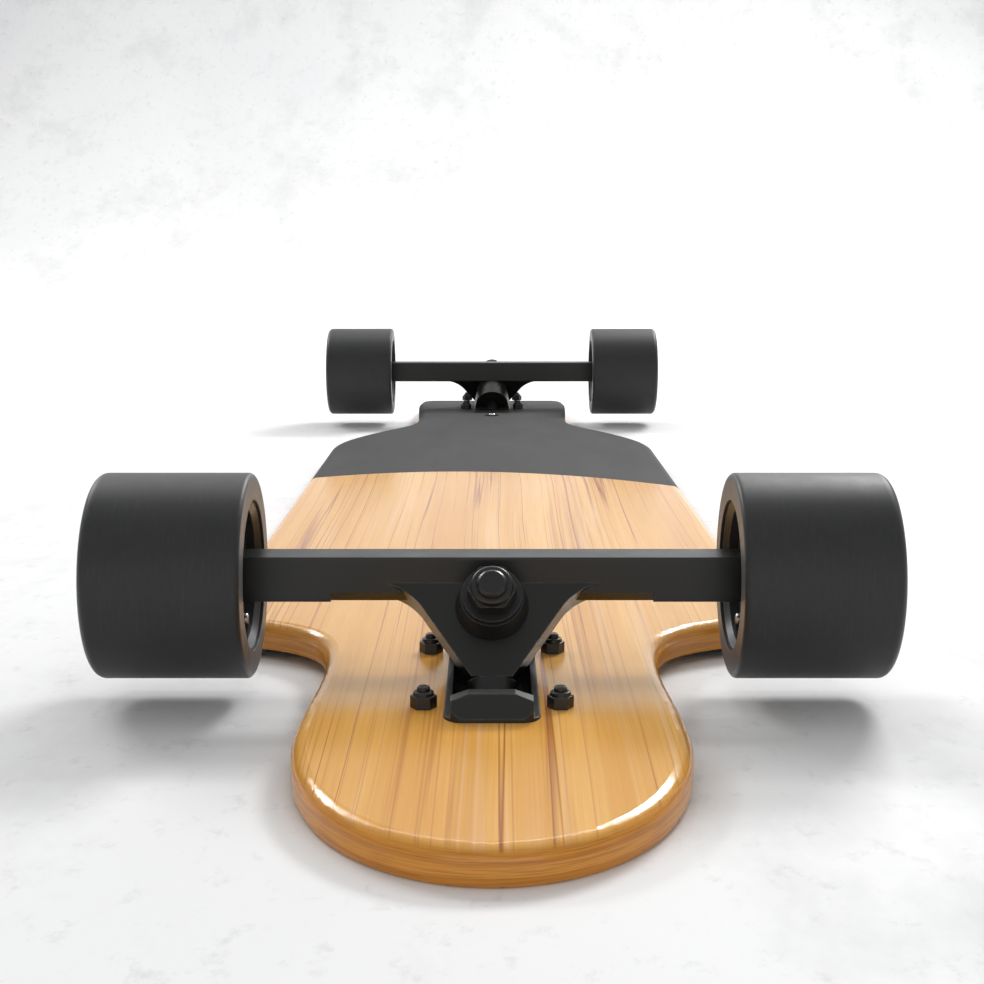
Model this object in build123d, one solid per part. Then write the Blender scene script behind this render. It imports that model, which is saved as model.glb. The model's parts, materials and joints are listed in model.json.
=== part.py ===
from build123d import *
import os
from math import sin, cos, radians, sqrt

# Electric skateboard, lying grip side down with its trucks and wheels up.
# Millimetres. +Z up, +Y towards the front, X across. Origin: bottom centre of the whole object.

# ---- deck ----
deck_half_width = 105.5
deck_thickness = 10.5
tip_drop = 3.2            # how far both tips bend towards the grip side
tail_overhang = 135.4     # rear hole pattern to the tail's tip
nose_overhang = 60.3      # front hole pattern to the nose's end
truck_spacing = 804.8     # between the two hole patterns
neck_half_width = 56.0
tail_half_width = 57.7
nose_half_width = 60.0
nose_corner = 12.0
tail_curve_length = 84.3
tail_bend = 95.0          # length over which the tail bends down
nose_bend = 45.0
tip_flat = 14.0           # flat strip at each tip, which the board rests on
edge_round_top = 4.4
edge_round_grip = 1.6

# ---- truck mounting ----
bolt_x = 41.3             # hole pattern, across and along
bolt_y = 63.5
bolt_radius = 2.0
bolt_nut_flats = 7.0
bolt_nut_height = 5.0
bolt_stand_out = 6.5      # thread end above the deck
bolt_clearance = 0.2
slot_half_width = 14.4    # cut-out for the baseplate
slot_outer = 47.0         # from the pattern's centre to the cut-out's outboard end
slot_inner = 63.1
slot_corner = 6.0
flange_half_width = 28.0
flange_margin = 6.0       # flange beyond the cut-out's ends
flange_thickness = 5.9
flange_recess = 3.0
seat_gap = 0.1            # clearance of a seated piece
press_gap = 0.03          # radial clearance of a pressed or threaded piece
bolt_head_radius = 3.9
bolt_head_height = 2.3
lip_height = 7.3          # baseplate's raised lip above the deck, at its outboard end
lip_length = 10.0
lip_slope = 4.0
lip_half_width = 12.3
lip_top_half_width = 6.9
lip_corner_drop = 1.9
pocket_wall = 2.0
pocket_floor = 6.5        # above the flange's grip side

# ---- truck ----
kingpin_tilt = 36.0       # kingpin above the deck plane, pointing outboard
axle_height = 42.5
axle_inboard = 22.0       # axle inboard of the pattern's centre
yoke_to_axle = 13.35      # along the steering axis
yoke_half = 5.5           # half the yoke's thickness
bar_size = 15.0
bar_end = 84.4            # half length of the hanger's bar
bar_chamfer = 3.0
kingpin_radius = 4.75
yoke_bore = 6.6
pivot_from_yoke = 27.2    # along the steering axis
pivot_radius = 4.4
cup_wall = 1.5
bushing_radius = 11.9
bushing_top_radius = 10.3
bushing_gap = 0.3
bushing_height = 7.6
washer_radius = 9.7
washer_thickness = 2.0
kingpin_nut_flats = 14.2
kingpin_nut_height = 7.8
axle_radius = 4.0
axle_nut_height = 6.0
axle_nut_flats = 13.0
shoulder_radius = 6.0

# ---- wheels ----
wheel_radius = 34.0
wheel_width = 51.0
wheel_inner_face = 78.9
tyre_inner_radius = 25.0
shell_wall = 2.5
bearing_radius = 11.0
bearing_width = 7.0
race_radius = 6.2         # outside of the inner race
ball_radius = 1.3
ball_count = 7
hub_wall = 2.5
plain_spacer = 13.0       # between a front wheel's bearings
speed_ring = 1.0
running_gap = 0.05

# ---- hub motor ----
cover_depth = 6.0         # cover below the wheel's inner face
cover_thickness = 3.5
cover_screw_circle = 20.2
cover_screw_count = 6
screw_ring_width = 3.0
cover_screw_radius = 1.2
cover_screw_head = 2.1
motor_length = 14.0
slot_count = 12
shoe_thickness = 1.8
tooth_width = 3.0
magnet_count = 14
magnet_thickness = 2.0
magnet_width = 7.6
air_gap = 0.5
rotor_gap = 0.5           # glue line behind the magnets

# ---- electronics ----
bay_half_width = 88.0
bay_rear = -215.0
bay_front = 165.0
bay_depth = 8.0
lid_ledge = 6.0
lid_thickness = 1.5
grip_thickness = 0.8
grip_margin = 4.0
cell_size = (82.0, 46.0, 6.0)
cell_pitch_y = 48.0
cell_rows = 5
board_thickness = 1.6
bay_gap = 0.1             # between the bay's ceiling and what hangs from it
bay_edge = 2.0            # between the bay's rear wall and the first cell
heat_plate_thickness = 1.0
lid_screw_radius = 1.4
lid_screw_head = 2.6
lid_screw_grip = 4.5
port_y = 120.0
port_radius = 3.8
port_bore = 2.8
port_depth = 11.0
port_set_back = 2.5       # socket's mouth behind the deck's edge
button_from_slot = 15.5
button_radius = 2.5
button_stand_out = 1.4
bezel_radius = 4.0
bezel_rim = 1.3
bezel_height = 0.8
bezel_depth = 5.1         # bezel's foot below the deck's top

# ---- worked out ----
deck_length = tail_overhang + truck_spacing + nose_overhang
tail_y = -deck_length / 2
nose_y = deck_length / 2
rear_y = tail_y + tail_overhang
front_y = rear_y + truck_spacing
grip_z = tip_drop
deck_z = grip_z + deck_thickness
flange_top = grip_z + flange_recess
flange_bottom = flange_top - flange_thickness
tilt = radians(kingpin_tilt)
steer_dir = Vector(0, sin(tilt), cos(tilt))
pin_dir = Vector(0, -cos(tilt), sin(tilt))
axle_at = Vector(0, axle_inboard, axle_height)
yoke_at = axle_at - steer_dir * yoke_to_axle
pivot_at = yoke_at - steer_dir * pivot_from_yoke
seat_height = yoke_half + bushing_gap
road_washer_at = seat_height + bushing_height
board_washer_at = -(road_washer_at + washer_thickness)
housing_seat = board_washer_at
nut_at = road_washer_at + washer_thickness
cup_bore = pivot_radius + running_gap
cup_radius = cup_bore + cup_wall
cup_mouth = -pivot_from_yoke + 2.4
cup_end = -pivot_from_yoke - cup_bore - 1.2
plug_half_width = slot_half_width - seat_gap
outer_face = wheel_inner_face + wheel_width
rotor_radius = tyre_inner_radius - press_gap
rotor_bore = tyre_inner_radius - shell_wall
bearing_seat = bearing_radius + press_gap
axle_seat = axle_radius + press_gap
cover_at = wheel_inner_face + cover_depth
screw_ring_at = cover_at + cover_thickness
motor_inner_bearing = cover_at + 0.3
stator_at = screw_ring_at + screw_ring_width + 2.6
motor_wall_at = stator_at + motor_length + 4.0
plain_inner_bearing = wheel_inner_face + 11.1
plain_outer_bearing = plain_inner_bearing + bearing_width + plain_spacer
kingpin_end = nut_at + kingpin_nut_height + 1.6
lid_top = grip_z + lid_thickness
bay_top = grip_z + bay_depth
bay_ceiling = bay_top - bay_gap
boards_rear = bay_rear + bay_edge + cell_rows * cell_pitch_y + 4
fet_height = bay_top - board_thickness - lid_top - heat_plate_thickness - 0.3
port_z = lid_top + port_radius + 0.2
port_face = deck_half_width - port_set_back
button_y = front_y - slot_inner - button_from_slot
bezel_floor = deck_z - bezel_depth
magnet_inner = rotor_bore - rotor_gap - magnet_thickness
stator_radius = magnet_inner - air_gap


def tube(outer, inner, start, end):
    """Ring along X from start to end."""
    ring = Circle(outer) - Circle(inner)
    return Plane.YZ.offset(start) * extrude(ring, end - start)


def rod(radius, start, end):
    """Round bar along X from start to end."""
    return Plane.YZ.offset(start) * extrude(Circle(radius), end - start)


def block(x0, x1, y0, y1, z0, z1):
    """Box given by its limits."""
    middle = Pos((x0 + x1) / 2, (y0 + y1) / 2, (z0 + z1) / 2)
    return middle * Box(x1 - x0, y1 - y0, z1 - z0)


def pin_plane(height):
    """Plane square to the kingpin, this far along it from the yoke's centre. Local y is the steering axis."""
    return Plane(origin=yoke_at + pin_dir * height, x_dir=(1, 0, 0), z_dir=pin_dir)


def along_pin(section, start, end):
    """A section drawn about the kingpin, extruded along it."""
    return pin_plane(start) * extrude(section, end - start)


def along_steer(section, start, end):
    """A section drawn about the steering axis, extruded along it from the yoke's centre."""
    plane = Plane(origin=yoke_at + steer_dir * start, x_dir=(1, 0, 0), z_dir=steer_dir)
    return plane * extrude(section, end - start)


def hexagon(flats):
    return RegularPolygon(flats / sqrt(3), 6)


def as_group(shapes):
    return Compound(children=list(shapes))


# ---------------------------------------------------------------- deck

def deck_outline(inset=0.0):
    """Half outline on the right, from tail to nose, mirrored to a face."""
    ellipse_y = tail_y + tail_curve_length
    tail_x, neck_x = tail_half_width - inset, neck_half_width - inset
    wide_x, nose_x = deck_half_width - inset, nose_half_width - inset
    neck_end = rear_y + 40.0
    tail = EllipticalCenterArc(
        (0, ellipse_y), tail_x, tail_curve_length, start_angle=270, arc_size=90)
    neck = Spline([(tail_x, ellipse_y), (neck_x, rear_y - 8), (neck_x + 1.6, neck_end)],
                  tangents=[(0, 1), (0.18, 1)])
    shoulder = Spline([neck @ 1, (neck_x + 12.6, rear_y + 62.5), (neck_x + 25.4, rear_y + 71.4),
                       (wide_x, rear_y + 112)],
                      tangents=[(0.18, 1), (0, 1)])
    side = Line(shoulder @ 1, (wide_x, front_y - 262))
    taper = Spline([side @ 1, (wide_x - 12.5, front_y - 203.3), (neck_x + 15.7, front_y - 158.4),
                    (neck_x + 0.5, front_y - 110)],
                   tangents=[(0, 1), (-0.05, 1)])
    front_neck = Spline([taper @ 1, (nose_x - 2.6, front_y - 50), (nose_x, front_y + 20)],
                        tangents=[(-0.05, 1), (0, 1)])
    nose_side = Line(front_neck @ 1, (nose_x, nose_y - nose_corner))
    corner = CenterArc((nose_x - nose_corner, nose_y - nose_corner), nose_corner, 0, 90)
    end = Line(corner @ 1, (0, nose_y))
    half = Curve() + [tail, neck, shoulder, side, taper, front_neck, nose_side, corner, end]
    whole = half + mirror(half, Plane.YZ)
    return make_face(whole)


def side_profile():
    """Side view of the deck: flat, with both tips bent towards the grip side."""
    tail_start, nose_start = tail_y + tip_flat + tail_bend, nose_y - tip_flat - nose_bend
    tail_end, nose_end = tail_y + tip_flat, nose_y - tip_flat

    def bend(y_flat, y_tip, level):
        middle = (y_flat + y_tip) / 2
        return Spline([(y_flat, level), (middle, level - tip_drop / 2), (y_tip, level - tip_drop)],
                      tangents=[(y_tip - y_flat, 0), (y_tip - y_flat, 0)])

    top_nose = bend(nose_start, nose_end, deck_z)
    top_tail = bend(tail_start, tail_end, deck_z)
    low_nose = bend(nose_start, nose_end, grip_z)
    low_tail = bend(tail_start, tail_end, grip_z)
    edges = [
        Line((tail_start, deck_z), (nose_start, deck_z)), top_nose,
        Line((nose_end, deck_z - tip_drop), (nose_y + 5, deck_z - tip_drop)),
        Line((nose_y + 5, deck_z - tip_drop), (nose_y + 5, 0)),
        Line((nose_y + 5, 0), (nose_end, 0)), low_nose,
        Line((nose_start, grip_z), (tail_start, grip_z)), low_tail,
        Line((tail_end, 0), (tail_y - 5, 0)),
        Line((tail_y - 5, 0), (tail_y - 5, deck_z - tip_drop)),
        Line((tail_y - 5, deck_z - tip_drop), (tail_end, deck_z - tip_drop)), top_tail,
    ]
    return make_face(Curve() + edges)


def rim_edges(body, level):
    """Edges that run round the outline on the top (level = deck_z) or grip side (level = grip_z)."""
    tail_flat, nose_flat = tail_y + tip_flat, nose_y - tip_flat
    joins = [tail_flat + tail_bend, nose_flat - nose_bend, tail_flat, nose_flat]
    found = []
    for edge in body.edges():
        box = edge.bounding_box()
        in_band = box.min.Z > level - tip_drop - 0.01 and box.max.Z < level + 0.01
        crosses = box.size.Y < 0.01 and any(abs(box.min.Y - y) < 0.1 for y in joins)
        if in_band and not crosses:
            found.append(edge)
    return found


def deck_blank():
    plan = extrude(deck_outline(), deck_z + 5)
    profile = Plane.YZ * side_profile()
    slab = Pos(-150, 0, 0) * extrude(profile, 300)
    blank = plan & slab
    blank = fillet(rim_edges(blank, deck_z), edge_round_top)
    return fillet(rim_edges(blank, grip_z), edge_round_grip)


def rounded_slot(half_width, outer, inner, corner):
    """Rounded rectangle about the hole pattern, longer on the inboard side."""
    length = outer + inner
    return Pos(0, (inner - outer) / 2) * RectangleRounded(2 * half_width, length, corner)


def bolt_spots():
    return [Pos(x, y) for x in (-bolt_x / 2, bolt_x / 2) for y in (-bolt_y / 2, bolt_y / 2)]


def at_rear(shape):
    return Pos(0, rear_y, 0) * shape


def at_front(shape):
    return Pos(0, front_y, 0) * Rot(0, 0, 180) * shape


def truck_cuts():
    """What one truck needs cut out of the deck, about its hole pattern."""
    through = extrude(rounded_slot(slot_half_width, slot_outer, slot_inner, slot_corner), deck_z + 5)
    recess = extrude(rounded_slot(flange_half_width + seat_gap, slot_outer + flange_margin + seat_gap,
                                  slot_inner + flange_margin + seat_gap, slot_corner + 3), flange_top)
    holes = [spot * extrude(Circle(bolt_radius + bolt_clearance), deck_z + 5) for spot in bolt_spots()]
    return through + recess + holes


def lid_screw_spots():
    x = bay_half_width + lid_ledge / 2
    sides = [(sx * x, bay_rear + (bay_front - bay_rear) * i / 5) for sx in (-1, 1) for i in range(6)]
    y0, y1 = bay_rear - lid_ledge / 2, bay_front + lid_ledge / 2
    ends = [(bay_half_width * f, y) for f in (-0.35, 0.35) for y in (y0, y1)]
    return [Pos(px, py) for px, py in sides + ends]


def lid_rectangle(gap):
    y0, y1 = bay_rear - lid_ledge, bay_front + lid_ledge
    width = 2 * (bay_half_width + lid_ledge) - 2 * gap
    return Pos(0, (y0 + y1) / 2) * RectangleRounded(width, y1 - y0 - 2 * gap, 8)


def deck():
    body = deck_blank()
    body -= at_rear(truck_cuts())
    body -= at_front(truck_cuts())
    body -= block(-bay_half_width, bay_half_width, bay_rear, bay_front, -1, bay_top)
    body -= extrude(lid_rectangle(0), lid_top)
    for spot in lid_screw_spots():
        body -= spot * extrude(Circle(lid_screw_radius + press_gap), lid_top + lid_screw_grip)
    body -= Pos(0, port_y, port_z) * rod(port_radius + press_gap, bay_half_width - 2, deck_half_width + 2)
    button_hole = extrude(Circle(bezel_radius + press_gap), deck_thickness)
    body -= Pos(0, button_y, bezel_floor - 2.6) * button_hole
    return body


def electronics_lid():
    lid = Pos(0, 0, grip_z) * extrude(lid_rectangle(seat_gap), lid_thickness)
    for spot in lid_screw_spots():
        lid -= spot * Pos(0, 0, grip_z) * extrude(Circle(lid_screw_head + 0.1), lid_thickness)
    return lid


def lid_screws():
    screws = []
    for spot in lid_screw_spots():
        head = Pos(0, 0, grip_z) * extrude(Circle(lid_screw_head), lid_thickness)
        shank = Pos(0, 0, lid_top) * extrude(Circle(lid_screw_radius), lid_screw_grip - 0.5)
        screws.append(spot * (head + shank))
    return as_group(screws)


def grip_tape():
    sheet = Pos(0, 0, grip_z - grip_thickness) * extrude(deck_outline(grip_margin), grip_thickness)
    reach = slot_inner + flange_margin + 5
    return sheet & block(-150, 150, rear_y + reach, front_y - reach, -5, 10)


def battery_cells():
    sx, sy, sz = cell_size
    cells = []
    for column in (-1, 1):
        for row in range(cell_rows):
            y0 = bay_rear + bay_edge + row * cell_pitch_y
            x0 = column * (sx / 2 + 1.5) - sx / 2
            pouch = block(x0, x0 + sx, y0, y0 + sy, bay_ceiling - sz, bay_ceiling)
            cells.append(fillet(pouch.edges().filter_by(Axis.Z), 3))
    return as_group(cells)


def circuit_board(x0, x1, y0, y1, parts):
    """Board under the bay's ceiling with components hanging from it: (x, y, width, length, height) each."""
    low = bay_ceiling - board_thickness
    board = block(x0, x1, y0, y1, low, bay_ceiling)
    for x, y, width, length, height in parts:
        board += block(x - width / 2, x + width / 2, y - length / 2, y + length / 2, low - height, low)
    return board


def bms_board():
    y = boards_rear
    chips = [(-75 + 9 * i, y + 9, 6, 5, 2.2) for i in range(6)]
    return circuit_board(-82, -22, y, y + 34, chips + [(-52, y + 24, 16, 10, 3.4), (-32, y + 24, 8, 12, 4.0)])


def radio_receiver():
    y = boards_rear
    return circuit_board(28, 72, y, y + 24, [(50, y + 12, 20, 14, 2.6), (36, y + 12, 3, 16, 1.2)])


def motor_controller():
    y = boards_rear + 40
    fets = [(-42 + 16.8 * i, y + j, 9, 8, fet_height) for i in range(6) for j in (12, 30)]
    caps = [(-36 + 24 * i, y + 52, 14, 8, 3.6) for i in range(4)]
    return circuit_board(-56, 56, y, y + 62, fets + caps)


def heat_plate():
    y = boards_rear + 40
    z0 = lid_top + 0.1
    return block(-54, 54, y + 4, y + 38, z0, z0 + heat_plate_thickness)


def charge_port():
    body = rod(port_radius, bay_half_width - 2, port_face)
    floor, ceiling = bay_gap - port_radius, bay_ceiling - port_z
    body += block(bay_half_width - 9, bay_half_width - bay_gap, -5.5, 5.5, floor, ceiling)
    body -= rod(port_bore, port_face - port_depth, port_face + 1)
    return Pos(0, port_y, port_z) * body


def button_bezel():
    body = extrude(Circle(bezel_radius), bezel_depth)
    body += Pos(0, 0, bezel_depth) * extrude(Circle(bezel_radius + bezel_rim), bezel_height)
    body -= extrude(Circle(button_radius + running_gap), deck_thickness)
    return Pos(0, button_y, bezel_floor) * body


def button_switch():
    body = Pos(0, 0, -2.5) * extrude(Circle(bezel_radius), 2.5) + extrude(Circle(1.0), 0.35)
    return Pos(0, button_y, bezel_floor) * body


def power_button():
    cap = Pos(0, button_y, bezel_floor + button_stand_out) * extrude(Circle(button_radius), bezel_depth)
    return fillet(cap.edges().group_by(Axis.Z)[-1], 0.6)


# ---------------------------------------------------------------- truck, about its hole pattern

def baseplate():
    flange_outer, flange_inner = slot_outer + flange_margin, slot_inner + flange_margin
    flange_plan = rounded_slot(flange_half_width, flange_outer, flange_inner, slot_corner + 3)
    flange = Pos(0, 0, flange_bottom) * extrude(flange_plan, flange_thickness)
    plug_plan = extrude(rounded_slot(plug_half_width, slot_outer - seat_gap, slot_inner - seat_gap,
                                     slot_corner - seat_gap), 80)
    deck_top, low = deck_z + 0.6, flange_top - 1
    plug = plug_plan & block(-60, 60, -80, 90, low, deck_top)
    lip_top, lip_end = deck_z + lip_height, lip_length - slot_outer
    side = Polyline((-slot_outer, low), (-slot_outer, deck_top), (lip_slope - slot_outer, lip_top),
                    (lip_end - 1, lip_top), (lip_end, low), close=True)
    front = Polyline((-lip_half_width, low), (-lip_half_width, lip_top - lip_corner_drop),
                     (-lip_top_half_width, lip_top), (lip_top_half_width, lip_top),
                     (lip_half_width, lip_top - lip_corner_drop), (lip_half_width, low), close=True)
    lip = plug_plan & (Pos(-60, 0, 0) * extrude(Plane.YZ * make_face(side), 120))
    lip &= Pos(0, 100, 0) * extrude(Plane.XZ * make_face(front), 200)
    dome = Pos(0, 3) * Circle(12.5)
    foot = Polyline((-plug_half_width - 1, -24), (plug_half_width + 1, -24), (plug_half_width + 1, -14),
                    (-plug_half_width - 1, -14), close=True)
    outline = make_hull(dome.edges() + foot.edges())
    housing = along_pin(outline, housing_seat - 11.5, housing_seat)
    housing &= block(-plug_half_width, plug_half_width, -slot_outer, slot_inner - seat_gap, low, 80)
    pocket_half = plug_half_width - pocket_wall
    pocket = block(-pocket_half, pocket_half, lip_end + 1, 45, flange_bottom + pocket_floor, 80)
    pocket &= along_pin(Rectangle(200, 200), housing_seat, 90)
    boss = along_steer(Circle(cup_radius + 2.2), cup_end - 1.0, cup_mouth)
    boss &= block(-20, 20, -40, 40, flange_bottom, 40)
    body = flange + plug + lip + housing - pocket + boss
    body -= along_steer(Circle(cup_radius + press_gap), cup_end, 40)
    body -= along_pin(Circle(kingpin_radius + press_gap), housing_seat - 20, housing_seat + 1)
    for spot in bolt_spots():
        body -= spot * extrude(Circle(bolt_radius + bolt_clearance), 12)
        head_seat = extrude(Circle(bolt_head_radius + 0.2), bolt_head_height + 1.1)
        body -= spot * Pos(0, 0, flange_bottom - 1) * head_seat
    return body


def pivot_cup():
    cup = along_steer(Circle(cup_radius), cup_end, cup_mouth)
    cup -= along_steer(Circle(cup_bore), -pivot_from_yoke, cup_mouth)
    return cup - Pos(*pivot_at) * Sphere(cup_bore)


def kingpin():
    pin = along_pin(Circle(kingpin_radius), housing_seat - 19.5, kingpin_end)
    return chamfer(pin.edges().sort_by(Axis.Z)[-1], 0.8)


def bushing(narrow_end, start, end):
    """Soft ring round the kingpin between two heights along it, tapered to the narrow end."""
    r0, r1 = (narrow_end, bushing_radius) if start < 0 else (bushing_radius, narrow_end)
    middle = (r0 + r1) / 2 + (0.5 if start < 0 else 0)
    half = Polyline((0, start), (r0, start)) + Spline([(r0, start), (middle, (start + end) / 2), (r1, end)])
    half += Polyline((r1, end), (0, end), (0, start))
    shape = revolve(Plane.XZ * make_face(half), Axis.Z)
    shape -= Pos(0, 0, start - 1) * extrude(Circle(kingpin_radius + 0.15), end - start + 2)
    return pin_plane(0) * shape


def boardside_bushing():
    return bushing(bushing_radius - 0.4, board_washer_at + washer_thickness, -seat_height)


def roadside_bushing():
    return bushing(bushing_top_radius, seat_height, road_washer_at)


def bushing_washers():
    ring = Circle(washer_radius) - Circle(kingpin_radius + 0.1)
    road = along_pin(ring, road_washer_at, nut_at)
    board = along_pin(ring, board_washer_at, board_washer_at + washer_thickness)
    road = fillet(road.edges().sort_by(Axis.Z)[-1], 0.7)
    return as_group([road, board])


def kingpin_nut():
    flats = along_pin(hexagon(kingpin_nut_flats), nut_at, nut_at + kingpin_nut_height - 2)
    round_cut = Circle(kingpin_nut_flats / 2 + 0.75)
    flats &= along_pin(round_cut, nut_at, nut_at + kingpin_nut_height)
    collar = along_pin(Circle(kingpin_nut_flats / 2 - 0.3), nut_at, nut_at + kingpin_nut_height)
    collar = fillet(collar.edges().sort_by(Axis.Z)[-1], 1.2)
    return flats + collar - along_pin(Circle(kingpin_radius + press_gap), nut_at - 1, kingpin_end + 1)


def mount_bolts():
    bolts = []
    for spot in bolt_spots():
        head = Pos(0, 0, flange_bottom + 0.1) * extrude(Circle(bolt_head_radius), bolt_head_height)
        shank_length = deck_z + bolt_stand_out - flange_bottom - 1
        shank = Pos(0, 0, flange_bottom + 1) * extrude(Circle(bolt_radius), shank_length)
        shank = chamfer(shank.edges().group_by(Axis.Z)[-1], 0.5)
        bolts.append(spot * (head + shank))
    return as_group(bolts)


def mount_nuts():
    nuts = []
    for spot in bolt_spots():
        nut = extrude(hexagon(bolt_nut_flats), bolt_nut_height - 1.4)
        collar = extrude(Circle(bolt_nut_flats / 2 - 0.35), bolt_nut_height)
        nut += fillet(collar.edges().group_by(Axis.Z)[-1], 0.6)
        nut -= extrude(Circle(bolt_radius + press_gap), bolt_nut_height + 1)
        nuts.append(spot * Pos(0, 0, deck_z) * nut)
    return as_group(nuts)


def hanger(shoulder):
    """Hanger of a truck whose wheels' inner races bear on shoulders this far out."""
    half = bar_size / 2
    y, z = axle_inboard, axle_height
    bar = block(-bar_end, bar_end, y - half, y + half, z - half, z + half)
    bar = fillet(bar.edges().filter_by(Axis.X), 0.8)
    edge_cut = Polyline((y - half - 1, z - half - 1), (y - half + bar_chamfer, z - half - 1),
                        (y - half + bar_chamfer, z - half), (y - half, z - half + bar_chamfer),
                        (y - half - 1, z - half + bar_chamfer), close=True)
    bar -= Pos(-53, 0, 0) * extrude(Plane.YZ * make_face(edge_cut), 106)
    tip = cup_mouth + 0.6
    wing = Polyline((-60, 8.2), (-28.5, 8.2), (-6.6, tip), (6.6, tip), (28.5, 8.2), (60, 8.2),
                    (60, 14), (-60, 14), close=True)
    face = make_face(wing)
    inner_corners = [v for v in face.vertices() if abs(v.Y - 8.2) < 0.01 and abs(v.X) < 40]
    face = fillet(inner_corners, 20) & Rectangle(84, 100)
    plate = along_pin(face, -yoke_half, yoke_half)
    plate -= Pos(-100, 0, 0) * extrude(Plane.YZ * make_face(Polyline(
        (y - 30, z + half), (y + 30, z + half), (y + 30, z + 60), (y - 30, z + 60), close=True)), 200)
    nose = along_steer(Circle(pivot_radius), -pivot_from_yoke, tip + 3)
    body = bar + plate + nose + Pos(*pivot_at) * Sphere(pivot_radius)
    for side in (-1, 1):
        body += mirror_if(side, Pos(0, y, z) * rod(shoulder_radius, bar_end - 1, shoulder))
    body -= Pos(0, y, z) * rod(axle_seat, -shoulder - 1, shoulder + 1)
    body -= along_pin(Circle(yoke_bore), -30, 30)
    body -= along_pin(Circle(bushing_radius + 0.4), yoke_half, 40)
    body -= along_pin(Circle(bushing_radius + 0.4), -40, -yoke_half)
    return body


def mirror_if(side, shape):
    """The shape on the right side, or its mirror image on the left."""
    return shape if side > 0 else mirror(shape, Plane.YZ)


def at_axle(shape):
    return Pos(0, axle_inboard, axle_height) * shape


def axle(end):
    bar = rod(axle_radius, -end, end)
    return at_axle(chamfer(bar.edges().filter_by(GeomType.CIRCLE), 0.6))


def pair(shape):
    """A piece on the right and its mirror image on the left."""
    return as_group([at_axle(mirror_if(side, shape)) for side in (-1, 1)])


def axle_nuts(start):
    flats = Plane.YZ.offset(start) * extrude(hexagon(axle_nut_flats), axle_nut_height - 1.6)
    collar = rod(axle_nut_flats / 2 - 0.3, start, start + axle_nut_height)
    return pair(flats + collar - rod(axle_seat, start - 1, start + axle_nut_height + 1))


# ---------------------------------------------------------------- wheels, about the axle, on the right

def around(count, radius, offset=0.0):
    """Places evenly round the axle at a radius, each with its local x pointing out from the axle."""
    return [Rot(360 * i / count + offset, 0, 0) * Pos(0, radius, 0) for i in range(count)]


def tyre():
    ring = tube(wheel_radius, tyre_inner_radius, wheel_inner_face, outer_face)
    rims = ring.edges().filter_by(GeomType.CIRCLE).filter_by(lambda e: e.radius > wheel_radius - 1)
    ring = fillet(rims.sort_by(Axis.X)[:1], 1.8)
    outer = ring.edges().filter_by(GeomType.CIRCLE).filter_by(lambda e: e.radius > wheel_radius - 0.1)
    return fillet(outer.sort_by(Axis.X)[-1:], 3.2)


def bevelled_rim(ring):
    inner = ring.edges().filter_by(GeomType.CIRCLE).filter_by(lambda e: e.radius < rotor_bore + 0.1)
    return chamfer(inner, 1.8, 1.8)


def outer_races(starts):
    pieces = []
    for start in starts:
        end = start + bearing_width
        ring = tube(bearing_radius, 9.0, start, end)
        for shield in (start, end - 0.5):
            ring += tube(9.5, race_radius + 0.2, shield, shield + 0.5)
        pieces.append(ring)
        middle = (start + end) / 2
        for spot in around(ball_count, (race_radius + 9.0) / 2):
            pieces.append(Pos(middle, 0, 0) * spot * Sphere(ball_radius))
    return as_group(pieces)


def inner_races(starts):
    return as_group([tube(race_radius, axle_seat, start, start + bearing_width) for start in starts])


def wheel_core():
    rim = bevelled_rim(tube(rotor_radius, rotor_bore, wheel_inner_face + 1, outer_face - 2))
    hub_end = plain_outer_bearing + bearing_width
    hub = tube(bearing_seat + hub_wall, bearing_seat, plain_inner_bearing, hub_end)
    stop_start = plain_inner_bearing + bearing_width
    hub += tube(bearing_seat + 1, bearing_radius - 1.5, stop_start, plain_outer_bearing)
    web_start = plain_inner_bearing + 7
    web = tube(rotor_bore + 0.5, bearing_seat + 1, web_start, web_start + 12)
    core = rim + hub + web
    for spot in around(5, (rotor_bore + bearing_seat + hub_wall) / 2):
        core -= spot * rod(3.4, web_start - 1, web_start + 13)
    return core


def rotor_shell():
    rim = bevelled_rim(tube(rotor_radius, rotor_bore, wheel_inner_face + 1, outer_face - 2))
    wall = tube(rotor_bore + 0.5, bearing_seat, motor_wall_at, motor_wall_at + bearing_width)
    ring_end = screw_ring_at + screw_ring_width
    shell = rim + wall + tube(rotor_bore + 0.5, 17.2, screw_ring_at, ring_end)
    for spot in around(cover_screw_count, cover_screw_circle):
        shell -= spot * rod(cover_screw_radius + press_gap, screw_ring_at - 1, ring_end + 1)
    return shell


def motor_cover():
    plate = tube(rotor_bore - 0.05, bearing_seat, cover_at, screw_ring_at)
    plate += tube(bearing_seat + hub_wall, bearing_seat, cover_at, motor_inner_bearing + bearing_width)
    for spot in around(cover_screw_count, cover_screw_circle):
        plate -= spot * rod(cover_screw_radius + 0.2, cover_at - 1, screw_ring_at + 1)
    return plate


def cover_screws():
    screws = []
    for spot in around(cover_screw_count, cover_screw_circle):
        head = rod(cover_screw_head, cover_at - 2.2, cover_at)
        head = fillet(head.edges().filter_by(GeomType.CIRCLE).sort_by(Axis.X)[:1], 0.9)
        shank = rod(cover_screw_radius, cover_at - 0.5, screw_ring_at + screw_ring_width)
        screws.append(spot * (head + shank))
    return as_group(screws)


def magnets():
    half, end = magnet_width / 2, stator_at + motor_length + 1
    magnet = block(stator_at - 1, end, magnet_inner, magnet_inner + magnet_thickness, -half, half)
    return as_group([Rot(360 * i / magnet_count, 0, 0) * magnet for i in range(magnet_count)])


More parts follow.
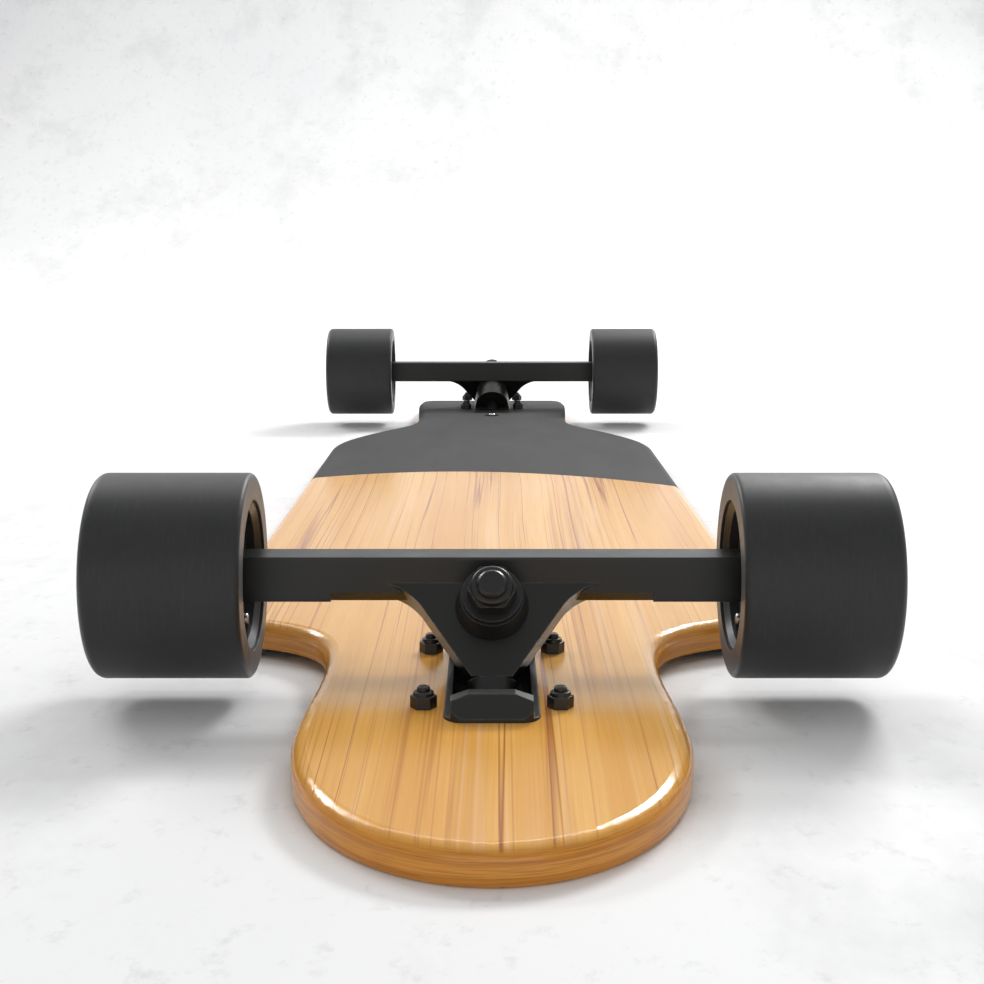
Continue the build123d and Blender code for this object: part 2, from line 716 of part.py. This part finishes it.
def stator():
    outer = stator_radius
    section = Circle(11.0) + (Circle(outer) - Circle(outer - shoe_thickness))
    for i in range(slot_count):
        turn = Rot(0, 0, 360 * i / slot_count)
        section += turn * Pos((outer + 9.5) / 2, 0) * Rectangle(outer - 10.5, tooth_width)
        section -= Rot(0, 0, 360 * (i + 0.5) / slot_count) * Pos(outer, 0) * Rectangle(6, 1.8)
    stack = Plane.YZ.offset(stator_at) * extrude(section, motor_length)
    sleeve = rod(race_radius, motor_inner_bearing + bearing_width, motor_wall_at)
    return stack + sleeve - rod(axle_seat, 0, 200)


def windings():
    end, half_gap = stator_at + motor_length, tooth_width / 2 + 0.05
    coils = []
    for i in range(slot_count):
        coil = block(stator_at - 1.2, end + 1.2, 11.7, stator_radius - shoe_thickness - 0.5, -2.7, 2.7)
        coil -= block(stator_at - 0.05, end + 0.05, 11, stator_radius, -half_gap, half_gap)
        coils.append(Rot(360 * i / slot_count, 0, 0) * coil)
    return as_group(coils)


# ---------------------------------------------------------------- everything in its place

def board_pieces():
    makers = [deck, electronics_lid, lid_screws, grip_tape, battery_cells, bms_board, motor_controller,
              heat_plate, radio_receiver, charge_port, button_bezel, button_switch, power_button]
    return {make.__name__: make() for make in makers}


def truck_pieces(end_name, place, shoulder, nut_start):
    makers = [baseplate, pivot_cup, kingpin, boardside_bushing, roadside_bushing, bushing_washers,
              kingpin_nut, mount_bolts, mount_nuts]
    pieces = {make.__name__: make() for make in makers}
    pieces["hanger"] = hanger(shoulder)
    pieces["axle"] = axle(nut_start + axle_nut_height + 1.6)
    pieces["axle_nuts"] = axle_nuts(nut_start)
    return {f"{end_name}_{name}": place(shape) for name, shape in pieces.items()}


def wheel_pieces(end_name, place, makers):
    """Pieces that turn with a wheel, for the right wheel and its mirror image on the left.

    The front truck is turned half round, so its mirrored wheel lands on the right.
    """
    turned = 1 if end_name == "rear" else -1
    pieces = {}
    for name, shape in makers.items():
        for side in (-1, 1):
            side_name = "right" if side * turned > 0 else "left"
            pieces[f"{end_name}_{side_name}_{name}"] = place(at_axle(mirror_if(side, shape)))
    return pieces


def rear_pieces():
    bearings = (motor_inner_bearing, motor_wall_at)
    pieces = truck_pieces("rear", at_rear, motor_inner_bearing, motor_wall_at + bearing_width)
    pieces["rear_bearing_races"] = at_rear(pair(inner_races(bearings)))
    pieces["rear_stators"] = at_rear(pair(stator()))
    pieces["rear_windings"] = at_rear(pair(windings()))
    turning = {"tyre": tyre(), "rotor_shell": rotor_shell(), "magnets": magnets(),
               "motor_cover": motor_cover(), "cover_screws": cover_screws(), "bearings": outer_races(bearings)}
    return pieces | wheel_pieces("rear", at_rear, turning)


def front_pieces():
    bearings = (plain_inner_bearing, plain_outer_bearing)
    shoulder = plain_inner_bearing - speed_ring
    outer_end = plain_outer_bearing + bearing_width
    pieces = truck_pieces("front", at_front, shoulder, outer_end + speed_ring)
    pieces["front_bearing_races"] = at_front(pair(inner_races(bearings)))
    spans = [(shoulder, plain_inner_bearing), (plain_inner_bearing + bearing_width, plain_outer_bearing),
             (outer_end, outer_end + speed_ring)]
    rings = [tube(shoulder_radius, axle_seat, start, end) for start, end in spans]
    pieces["front_axle_spacers"] = at_front(pair(as_group(rings)))
    turning = {"tyre": tyre(), "wheel_core": wheel_core(), "bearings": outer_races(bearings)}
    return pieces | wheel_pieces("front", at_front, turning)


os.makedirs("parts", exist_ok=True)
for node, shape in (board_pieces() | rear_pieces() | front_pieces()).items():
    export_step(shape, f"parts/{node}.step")
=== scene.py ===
"""Looks of the electric skateboard: camera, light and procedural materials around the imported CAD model."""
import json
import math

import bpy
import bmesh
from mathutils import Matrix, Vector


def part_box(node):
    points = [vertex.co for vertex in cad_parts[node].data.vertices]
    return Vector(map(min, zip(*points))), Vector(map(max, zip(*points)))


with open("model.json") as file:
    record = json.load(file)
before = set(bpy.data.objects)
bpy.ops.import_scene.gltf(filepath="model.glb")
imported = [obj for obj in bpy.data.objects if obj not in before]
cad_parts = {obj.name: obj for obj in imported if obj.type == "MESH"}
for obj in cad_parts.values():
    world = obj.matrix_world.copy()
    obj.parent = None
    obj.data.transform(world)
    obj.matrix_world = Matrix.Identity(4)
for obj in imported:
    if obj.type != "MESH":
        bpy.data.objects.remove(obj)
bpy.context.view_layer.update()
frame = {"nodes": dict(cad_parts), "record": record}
nodes = frame["nodes"]

# ---- places, taken from the frame (metres) ----
deck_low, deck_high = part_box("deck")
DECK_TOP = deck_high.z                # flat underside of the deck, facing up here
DECK_GRIP = 0.0032                    # grip side of the flat part
SLOT_SIDE = 0.0147                    # just outside the cut-outs' side walls
TREAD_FROM = 0.0335                   # radius where the tread begins on a tyre
AXLE = {end: sum(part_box(end + "_axle"), Vector()) / 2 for end in ("rear", "front")}
CAMERA_BACK = 0.362                   # camera behind the tail
CAMERA_HEIGHT = 0.1564
CAMERA_PITCH = 0.164                  # radians below level
LENS = 58.54                          # millimetres, on a 36 mm sensor
BACKDROP_BEHIND = 1.25                # from the nose to the foot of the backdrop
PAINT_EDGE = 0.0726                   # where the painted front begins, on the centre line
PAINT_LEAN = -0.15                    # slope of that edge across the board
PAINT_BOW = -3.6                      # its curve, per metre
PAINT_LOWEST = DECK_GRIP + 0.0030     # lowest paint on the deck's edge


# ---- node helpers ----
class Maker:
    """A material under construction: node() adds a node, sets its values and links its inputs."""

    def __init__(self, name):
        self.material = bpy.data.materials.new(name)
        self.material.use_nodes = True
        self.tree = self.material.node_tree
        self.shader = self.tree.nodes["Principled BSDF"]
        self.place = self.node("ShaderNodeTexCoord").outputs["Object"]

    def node(self, kind, inputs=None, **settings):
        made = self.tree.nodes.new(kind)
        for key, value in settings.items():
            setattr(made, key, value)
        for key, value in (inputs or {}).items():
            self.feed(made.inputs[key], value)
        return made

    def feed(self, socket, value):
        if isinstance(value, bpy.types.NodeSocket):
            self.tree.links.new(value, socket)
        else:
            socket.default_value = value

    def math(self, operation, a, b=0.0):
        return self.node("ShaderNodeMath", {0: a, 1: b}, operation=operation).outputs[0]

    def stretch(self, x, y, z):
        """Texture coordinates scaled along each axis, per metre."""
        scaled = self.node("ShaderNodeVectorMath", {0: self.place, 1: (x, y, z)}, operation="MULTIPLY")
        return scaled.outputs[0]

    def noise(self, vector, detail=2.0, roughness=0.5, scale=1.0, distortion=0.0):
        inputs = {"Vector": vector, "Scale": scale, "Detail": detail, "Roughness": roughness,
                  "Distortion": distortion}
        return self.node("ShaderNodeTexNoise", inputs).outputs["Fac"]

    def ramp(self, value, low, high, start=0.0, end=1.0):
        """value mapped from low..high to start..end, clamped."""
        inputs = {"Value": value, "From Min": low, "From Max": high, "To Min": start, "To Max": end}
        return self.node("ShaderNodeMapRange", inputs, clamp=True).outputs["Result"]

    def mix(self, factor, a, b):
        made = self.tree.nodes.new("ShaderNodeMix")
        made.data_type = "RGBA"
        self.feed(made.inputs[0], factor)
        self.feed(made.inputs[6], a if isinstance(a, bpy.types.NodeSocket) else (*a, 1))
        self.feed(made.inputs[7], b if isinstance(b, bpy.types.NodeSocket) else (*b, 1))
        return made.outputs[2]

    def split(self, vector=None):
        return self.node("ShaderNodeSeparateXYZ", {0: vector or self.place}).outputs

    def join(self, x=0.0, y=0.0, z=0.0):
        return self.node("ShaderNodeCombineXYZ", {0: x, 1: y, 2: z}).outputs[0]

    def edge_round(self, radius):
        """A normal that rounds sharp edges by a small radius."""
        return self.node("ShaderNodeBevel", {"Radius": radius}, samples=4).outputs[0]

    def edge_wear(self, radius, low=0.02, high=0.2):
        """0 on faces, rising to 1 on sharp edges."""
        rounded = self.edge_round(radius)
        flat = self.node("ShaderNodeNewGeometry").outputs["Normal"]
        dot = self.node("ShaderNodeVectorMath", {0: rounded, 1: flat}, operation="DOT_PRODUCT")
        return self.ramp(self.math("SUBTRACT", 1.0, dot.outputs["Value"]), low, high)

    def bump(self, height, distance, strength=1.0, normal=None):
        inputs = {"Height": height, "Distance": distance, "Strength": strength}
        if normal is not None:
            inputs["Normal"] = normal
        return self.node("ShaderNodeBump", inputs).outputs[0]

    def finish(self, **inputs):
        for key, value in inputs.items():
            name = key.replace("_", " ")
            if isinstance(value, tuple):
                value = (*value, 1)
            self.feed(self.shader.inputs[name], value)
        return self.material


# ---- materials ----
def bamboo():
    m = Maker("bamboo")
    x, y, z = m.split()
    wander = m.noise(m.stretch(9, 3.5, 9), detail=1.0)
    x_bent = m.math("ADD", x, m.math("MULTIPLY", m.math("SUBTRACT", wander, 0.5), 0.006))

    # strips of differing tone, each a few millimetres wide
    strips = m.node("ShaderNodeTexVoronoi", {"W": m.math("MULTIPLY", x_bent, 130.0), "Scale": 1.0},
                    voronoi_dimensions="1D", feature="F1")
    tone = m.split(strips.outputs["Color"])[0]
    broad = m.noise(m.join(m.math("MULTIPLY", x_bent, 55.0), m.math("MULTIPLY", y, 2.2)), detail=2.0)
    fibre_place = m.join(m.math("MULTIPLY", x_bent, 1700.0), m.math("MULTIPLY", y, 16.0))
    fibre = m.noise(fibre_place, detail=3.0, roughness=0.6)
    base = m.mix(m.ramp(broad, 0.3, 0.7), (0.71, 0.330, 0.052), (0.87, 0.455, 0.100))
    base = m.mix(m.math("MULTIPLY", tone, 0.4), base, (0.94, 0.57, 0.175))
    base = m.mix(m.ramp(fibre, 0.35, 0.75, 0.0, 0.30), base, (0.55, 0.200, 0.026))

    # thin dark streaks where a slow wave across the board crosses its middle value
    def streaks(across, along, width, offset):
        place = m.join(m.math("MULTIPLY", x_bent, across), m.math("MULTIPLY", y, along), offset)
        wave = m.noise(place, detail=1.5, roughness=0.55)
        crossing = m.math("ABSOLUTE", m.math("SUBTRACT", wave, 0.5))
        line = m.ramp(crossing, 0.0, width, 1.0, 0.0)
        cluster = m.join(m.math("MULTIPLY", x_bent, 38.0), m.math("MULTIPLY", y, 2.6), offset + 7.0)
        return m.math("MULTIPLY", line, m.ramp(m.noise(cluster, detail=1.0), 0.46, 0.55))

    dark = m.math("MAXIMUM", streaks(74.0, 0.40, 0.011, 1.3), streaks(150.0, 0.6, 0.020, 5.9))
    dark = m.math("MAXIMUM", dark, m.math("MULTIPLY", streaks(260.0, 0.8, 0.036, 9.4), 0.4))
    top = m.mix(m.math("MULTIPLY", dark, 0.88), base, (0.31, 0.062, 0.008))
    pale = streaks(95.0, 0.9, 0.022, 11.7)
    top = m.mix(m.math("MULTIPLY", pale, 0.45), top, (0.87, 0.56, 0.30))

    # plies show on the edge: thin glue lines between darker and lighter layers
    round_edge = m.noise(m.stretch(14, 14, 90), detail=2.0)
    ply_place = m.math("ADD", m.math("MULTIPLY", z, 640.0), m.math("MULTIPLY", round_edge, 0.5))
    ply = m.node("ShaderNodeTexVoronoi", {"W": ply_place, "Scale": 1.0}, voronoi_dimensions="1D",
                 feature="F1")
    ply_tone = m.split(ply.outputs["Color"])[0]
    ply_grain = m.noise(m.stretch(60, 60, 2600), detail=3.0)
    side = m.mix(ply_tone, (0.56, 0.205, 0.016), (0.72, 0.30, 0.034))
    side = m.mix(m.ramp(ply_grain, 0.45, 0.75, 0.0, 0.7), side, (0.30, 0.085, 0.008))
    veneer = m.ramp(z, DECK_TOP - 0.0022, DECK_TOP - 0.0015)
    normal_z = m.split(m.node("ShaderNodeTexCoord").outputs["Normal"])[2]
    flat = m.ramp(m.math("ABSOLUTE", normal_z), 0.55, 0.92)
    wood = m.mix(flat, side, top)

    # the painted front: a tilted arc across the board
    lean = m.math("MULTIPLY", x, PAINT_LEAN)
    bow = m.math("MULTIPLY", m.math("MULTIPLY", x, x), PAINT_BOW)
    rim = m.math("MULTIPLY", m.math("SUBTRACT", m.noise(m.stretch(420, 420, 0)), 0.5), 0.0004)
    edge_y = m.math("ADD", m.math("ADD", lean, bow), m.math("ADD", rim, PAINT_EDGE))
    in_front = m.ramp(m.math("SUBTRACT", y, edge_y), -0.0002, 0.0002)
    painted = m.math("MULTIPLY", in_front, m.ramp(z, PAINT_LOWEST, PAINT_LOWEST + 0.0006))
    slot_wall = m.ramp(m.math("ABSOLUTE", x), SLOT_SIDE, SLOT_SIDE + 0.0005)
    painted = m.math("MULTIPLY", painted, m.math("MAXIMUM", slot_wall, m.ramp(normal_z, 0.3, 0.5)))
    cloud = m.noise(m.stretch(18, 9, 18), detail=4.0)
    paint = m.mix(m.ramp(cloud, 0.3, 0.7), (0.030, 0.030, 0.031), (0.040, 0.040, 0.041))
    grit = m.noise(m.stretch(2600, 2600, 2600), detail=1.0)
    paint = m.mix(m.ramp(grit, 0.62, 0.80, 0.0, 0.25), paint, (0.14, 0.14, 0.15))
    colour = m.mix(painted, wood, paint)

    smears = m.noise(m.stretch(24, 10, 24), detail=5.0, roughness=0.65)
    gloss = m.ramp(smears, 0.3, 0.7, 0.15, 0.23)
    rough = m.ramp(painted, 0.0, 1.0, gloss, m.ramp(smears, 0.3, 0.7, 0.66, 0.76))
    relief = m.math("ADD", m.math("MULTIPLY", fibre, 0.5), m.math("MULTIPLY", dark, -0.6))
    relief = m.math("MULTIPLY", relief, m.ramp(painted, 0.0, 1.0, 1.0, 0.15))
    relief = m.math("ADD", relief, m.math("MULTIPLY", veneer, 0.2))
    tint = m.mix(painted, (1.0, 1.0, 1.0), (0.42, 0.42, 0.42))
    return m.finish(Base_Color=colour, Roughness=rough, Normal=m.bump(relief, 0.00005, 0.5),
                    Specular_Tint=tint)


def coated_metal(name, colour, worn, roughness, grain, edge=0.0004, grain_depth=0.00003):
    """Powder coat, anodising or black oxide: fine grain, soft blotches and slightly rubbed edges, lightened
    partly as a painted edge highlight.
    """
    m = Maker(name)
    blotch = m.noise(m.stretch(60, 60, 60), detail=4.0, roughness=0.6)
    fine = m.noise(m.stretch(grain, grain, grain), detail=2.0)
    scuff = m.noise(m.stretch(260, 900, 500), detail=3.0, roughness=0.7)
    dark = tuple(c * 0.72 for c in colour)
    base = m.mix(m.ramp(blotch, 0.3, 0.7), dark, colour)
    # edges lightened towards the worn colour: partly rubbed coat, partly a painted highlight along the edges
    rub_and_edge_highlight = m.math("MULTIPLY", m.edge_wear(edge * 1.6), m.ramp(scuff, 0.42, 0.62, 0.15, 0.8))
    base = m.mix(rub_and_edge_highlight, base, worn)
    rough = m.math("ADD", m.ramp(blotch, 0.25, 0.75, roughness - 0.05, roughness + 0.07),
                   m.math("MULTIPLY", m.math("SUBTRACT", fine, 0.5), 0.10))
    return m.finish(Base_Color=base, Roughness=rough, Metallic=0.0,
                    Normal=m.bump(fine, grain_depth, 0.35, m.edge_round(edge)), Specular_IOR_Level=0.5)


def bare_metal(name, colour, roughness, edge=0.0003, brushed=(900, 60, 60)):
    """Plated or polished steel and aluminium, with fine lines and faint stains."""
    m = Maker(name)
    lines = m.noise(m.stretch(*brushed), detail=3.0)
    stain = m.noise(m.stretch(120, 120, 120), detail=4.0, roughness=0.6)
    base = m.mix(m.ramp(stain, 0.35, 0.75), colour, tuple(c * 0.72 for c in colour))
    rough = m.math("ADD", m.ramp(stain, 0.3, 0.7, roughness - 0.04, roughness + 0.08),
                   m.ramp(lines, 0.3, 0.7, -0.04, 0.06))
    return m.finish(Base_Color=base, Roughness=rough, Metallic=1.0,
                    Normal=m.bump(lines, 0.00002, 0.3, m.edge_round(edge)))


def wheel_urethane():
    """Matt black urethane with short turning marks round each wheel and scuffed rims."""
    m = Maker("wheel_urethane")
    x, y, z = m.split()
    is_front = m.math("GREATER_THAN", y, 0.0)
    middle = m.math("ADD", m.math("MULTIPLY", is_front, AXLE["front"].y - AXLE["rear"].y), AXLE["rear"].y)
    dy = m.math("SUBTRACT", y, middle)
    dz = m.math("SUBTRACT", z, AXLE["rear"].z)
    angle = m.math("ARCTAN2", dz, dy)
    radius = m.math("SQRT", m.math("ADD", m.math("MULTIPLY", dy, dy), m.math("MULTIPLY", dz, dz)))
    around = m.join(m.math("MULTIPLY", x, 2300.0), m.math("MULTIPLY", m.math("COSINE", angle), 4.5),
                    m.math("MULTIPLY", m.math("SINE", angle), 4.5))
    marks = m.noise(around, detail=3.0, roughness=0.65)
    across = m.join(m.math("MULTIPLY", radius, 2600.0), m.math("MULTIPLY", m.math("COSINE", angle), 3.0),
                    m.math("MULTIPLY", m.math("SINE", angle), 3.0))
    rings = m.noise(across, detail=2.0)
    on_tread = m.ramp(radius, TREAD_FROM, TREAD_FROM + 0.0003)
    turning = m.mix(on_tread, rings, marks)
    dust = m.noise(m.stretch(70, 70, 70), detail=5.0, roughness=0.7)
    base = m.mix(m.ramp(dust, 0.35, 0.75), (0.011, 0.0115, 0.012), (0.018, 0.0185, 0.019))
    base = m.mix(m.ramp(marks, 0.55, 0.80, 0.0, 0.35), base, (0.050, 0.051, 0.053))
    rim = m.edge_wear(0.0006, 0.01, 0.15)
    base = m.mix(m.math("MULTIPLY", rim, 0.35), base, (0.16, 0.16, 0.165))
    rough = m.math("SUBTRACT", m.ramp(dust, 0.3, 0.7, 0.50, 0.60), m.ramp(on_tread, 0.0, 1.0, 0.16, 0.0))
    normal = m.bump(turning, 0.00005, 0.5, m.edge_round(0.0004))
    return m.finish(Base_Color=base, Roughness=rough, Normal=normal, Sheen_Weight=0.12,
                    Sheen_Roughness=0.5, Specular_IOR_Level=0.45)


def moulded(name, colour, roughness=0.5, grain=1400, depth=0.00004, speck=(0.10, 0.10, 0.10)):
    """Moulded plastic or rubber: fine texture, faint flow marks and dust."""
    m = Maker(name)
    texture = m.noise(m.stretch(grain, grain, grain), detail=2.0, roughness=0.6)
    flow = m.noise(m.stretch(45, 30, 80), detail=4.0, distortion=0.6)
    base = m.mix(m.ramp(flow, 0.3, 0.7), colour, tuple(c * 0.75 for c in colour))
    base = m.mix(m.ramp(texture, 0.62, 0.85, 0.0, 0.4), base, speck)
    rough = m.ramp(flow, 0.3, 0.7, roughness - 0.05, roughness + 0.08)
    return m.finish(Base_Color=base, Roughness=rough,
                    Normal=m.bump(texture, depth, 0.4, m.edge_round(0.0004)))


def grip():
    """Coarse abrasive grit with a faint sparkle and worn patches."""
    m = Maker("grip")
    grit_place = m.stretch(2100, 2100, 2100)
    grains = m.node("ShaderNodeTexVoronoi", {"Vector": grit_place, "Scale": 1.0}, feature="F1")
    tone = m.split(grains.outputs["Color"])[0]
    worn = m.noise(m.stretch(12, 6, 12), detail=4.0, roughness=0.65)
    base = m.mix(m.math("POWER", tone, 6.0), (0.012, 0.012, 0.013), (0.10, 0.10, 0.105))
    base = m.mix(m.ramp(worn, 0.5, 0.75, 0.0, 0.35), base, (0.055, 0.052, 0.048))
    return m.finish(Base_Color=base, Roughness=m.ramp(tone, 0.0, 1.0, 0.95, 0.55),
                    Normal=m.bump(grains.outputs["Distance"], 0.0004, 0.8))


def circuit():
    """Green solder mask with traces, pads and weave."""
    m = Maker("circuit")
    rows = {"Vector": m.stretch(260, 260, 260), "Scale": 1.0, "Mortar Size": 0.05, "Brick Width": 1.7,
            "Row Height": 0.31}
    traces = m.node("ShaderNodeTexBrick", rows).outputs["Fac"]
    weave = m.noise(m.stretch(900, 900, 900), detail=2.0)
    base = m.mix(traces, (0.010, 0.105, 0.040), (0.030, 0.22, 0.085))
    base = m.mix(m.ramp(weave, 0.66, 0.72), base, (0.62, 0.60, 0.55))
    return m.finish(Base_Color=base, Roughness=m.ramp(weave, 0.3, 0.7, 0.28, 0.45),
                    Normal=m.bump(traces, 0.00003, 0.5))


def cell_wrap():
    """Blue heat-shrink film with creases."""
    m = Maker("cell_wrap")
    crease = m.noise(m.stretch(160, 40, 160), detail=5.0, roughness=0.7, distortion=1.2)
    base = m.mix(m.ramp(crease, 0.3, 0.7), (0.016, 0.075, 0.24), (0.035, 0.13, 0.36))
    return m.finish(Base_Color=base, Roughness=m.ramp(crease, 0.3, 0.7, 0.22, 0.38),
                    Normal=m.bump(crease, 0.0003, 0.5))


def layered(name, light, dark, per_metre, metallic, roughness):
    """Stacked sheets or wound wire: repeated fine lines across the axle."""
    m = Maker(name)
    x = m.split()[0]
    wobble = m.noise(m.stretch(200, 200, 200), detail=2.0)
    phase = m.math("ADD", m.math("MULTIPLY", x, per_metre), m.math("MULTIPLY", wobble, 1.5))
    line = m.ramp(m.math("SINE", phase), -0.6, 0.9)
    base = m.mix(line, dark, light)
    rough = m.ramp(wobble, 0.3, 0.7, roughness, roughness + 0.12)
    return m.finish(Base_Color=base, Metallic=metallic, Roughness=rough, Normal=m.bump(line, 0.0001, 0.6))


MATERIALS = {
    "bamboo": bamboo(),
    "black_panel": moulded("black_panel", (0.020, 0.020, 0.020), roughness=0.45, grain=900),
    "black_steel": coated_metal("black_steel", (0.009, 0.009, 0.009), (0.12, 0.12, 0.115), 0.33, 1600),
    "grip": grip(),
    "cell_wrap": cell_wrap(),
    "circuit": circuit(),
    "aluminium": bare_metal("aluminium", (0.72, 0.73, 0.75), 0.32),
    "black_plastic": moulded("black_plastic", (0.022, 0.022, 0.022), roughness=0.42),
    "black_plastic_core": moulded("black_plastic_core", (0.026, 0.026, 0.027), roughness=0.48),
    "button_metal": bare_metal("button_metal", (0.86, 0.86, 0.87), 0.20, brushed=(1500, 90, 90)),
    # truck_black: its lighter edges are partly rubbed coat and partly a painted edge highlight
    "truck_black": coated_metal("truck_black", (0.0062, 0.0064, 0.0048), (0.14, 0.14, 0.13), 0.36, 2200,
                                edge=0.0006),
    "bushing_urethane": moulded("bushing_urethane", (0.018, 0.018, 0.017), roughness=0.36, grain=700,
                                depth=0.00002),
    "steel": bare_metal("steel", (0.58, 0.58, 0.57), 0.30, brushed=(140, 900, 900)),
    "wheel_urethane": wheel_urethane(),
    "bearing_steel": bare_metal("bearing_steel", (0.66, 0.66, 0.67), 0.16),
    "motor_black": coated_metal("motor_black", (0.024, 0.024, 0.025), (0.22, 0.22, 0.22), 0.36, 1800),
    "magnet": bare_metal("magnet", (0.55, 0.54, 0.52), 0.24),
    "lamination": layered("lamination", (0.36, 0.36, 0.37), (0.10, 0.10, 0.105), 9000.0, 1.0, 0.34),
    "copper": layered("copper", (0.72, 0.27, 0.10), (0.26, 0.08, 0.03), 6500.0, 1.0, 0.26),
}
for entry in frame["record"]["subparts"]:
    piece = nodes[entry["node"]]
    slots = piece.data.materials
    for index in range(max(1, len(slots))):
        if index < len(slots):
            slots[index] = MATERIALS[entry["material_slot"]]
        else:
            slots.append(MATERIALS[entry["material_slot"]])


# ---- floor and backdrop ----
def studio_floor():
    """A floor that curves up into a backdrop behind the board."""
    foot = deck_high.y + BACKDROP_BEHIND
    half, near, bend, height, steps = 9.0, -6.0, 0.9, 6.0, 12
    profile = [(near, 0.0), (foot, 0.0)]
    for step in range(1, steps + 1):
        turn = math.radians(90 * step / steps)
        profile.append((foot + bend * math.sin(turn), bend * (1 - math.cos(turn))))
    profile.append((foot + bend, height))
    shape = bmesh.new()
    rows = [[shape.verts.new((side * half, y, z)) for side in (-1, 1)] for y, z in profile]
    for low, high in zip(rows, rows[1:]):
        face = shape.faces.new((low[0], low[1], high[1], high[0]))
        face.smooth = True
    data = bpy.data.meshes.new("studio_floor")
    shape.to_mesh(data)
    floor = bpy.data.objects.new("studio_floor", data)
    bpy.context.scene.collection.objects.link(floor)
    m = Maker("studio_floor")
    haze = m.noise(m.stretch(2.2, 1.6, 2.2), detail=5.0, roughness=0.6, distortion=0.4)
    stain = m.noise(m.stretch(9, 5, 9), detail=7.0, roughness=0.7)
    base = m.mix(m.ramp(haze, 0.3, 0.7), (0.80, 0.80, 0.81), (0.86, 0.86, 0.86))
    base = m.mix(m.ramp(stain, 0.50, 0.70, 0.0, 0.5), base, (0.62, 0.62, 0.63))
    specks = m.noise(m.stretch(90, 60, 90), detail=6.0, roughness=0.75)
    base = m.mix(m.ramp(specks, 0.56, 0.74, 0.0, 0.45), base, (0.48, 0.48, 0.49))
    data.materials.append(m.finish(Base_Color=base, Roughness=m.ramp(stain, 0.3, 0.7, 0.55, 0.75),
                                   Normal=m.bump(stain, 0.0008, 0.3)))


studio_floor()


# ---- light ----
def softbox(name, place, aim, width, depth, power):
    """A rectangular lamp of this size and power, turned towards aim."""
    light = bpy.data.lights.new(name, "AREA")
    light.shape = "RECTANGLE"
    light.size, light.size_y, light.energy = width, depth, power
    lamp = bpy.data.objects.new(name, light)
    lamp.location = place
    lamp.rotation_euler = (Vector(aim) - Vector(place)).to_track_quat("-Z", "Y").to_euler()
    bpy.context.scene.collection.objects.link(lamp)


REAR_TRUCK = (0, -0.3, 0)             # most lamps aim here

softbox("key", (1.15, 1.87, 1.72), REAR_TRUCK, 0.9, 0.5, 46)
softbox("rim_left", (-1.55, 1.55, 1.55), (0, -0.4, 0), 1.0, 0.4, 20)
softbox("rim_strip", (0.0, 1.3, 2.0), REAR_TRUCK, 3.4, 0.22, 14)
softbox("overhead", (0.0, 0.2, 2.6), (0, 0, 0), 2.0, 2.0, 6)
softbox("front_fill", (0.0, -2.6, 0.5), REAR_TRUCK, 3.2, 0.7, 7)

world = bpy.data.worlds.new("studio")
world.use_nodes = True
sky = world.node_tree.nodes["Background"]
sky.inputs["Color"].default_value = (0.985, 0.992, 0.99, 1)
sky.inputs["Strength"].default_value = 0.50
bpy.context.scene.world = world

# ---- camera ----
lens = bpy.data.cameras.new("camera")
lens.lens = LENS
lens.sensor_width = 36.0
lens.clip_start = 0.01
camera = bpy.data.objects.new("camera", lens)
camera.location = (0.0, deck_low.y - CAMERA_BACK, CAMERA_HEIGHT)
camera.rotation_euler = (math.pi / 2 - CAMERA_PITCH, 0, 0)
bpy.context.scene.collection.objects.link(camera)
bpy.context.scene.camera = camera

bpy.context.scene.view_settings.view_transform = "Standard"
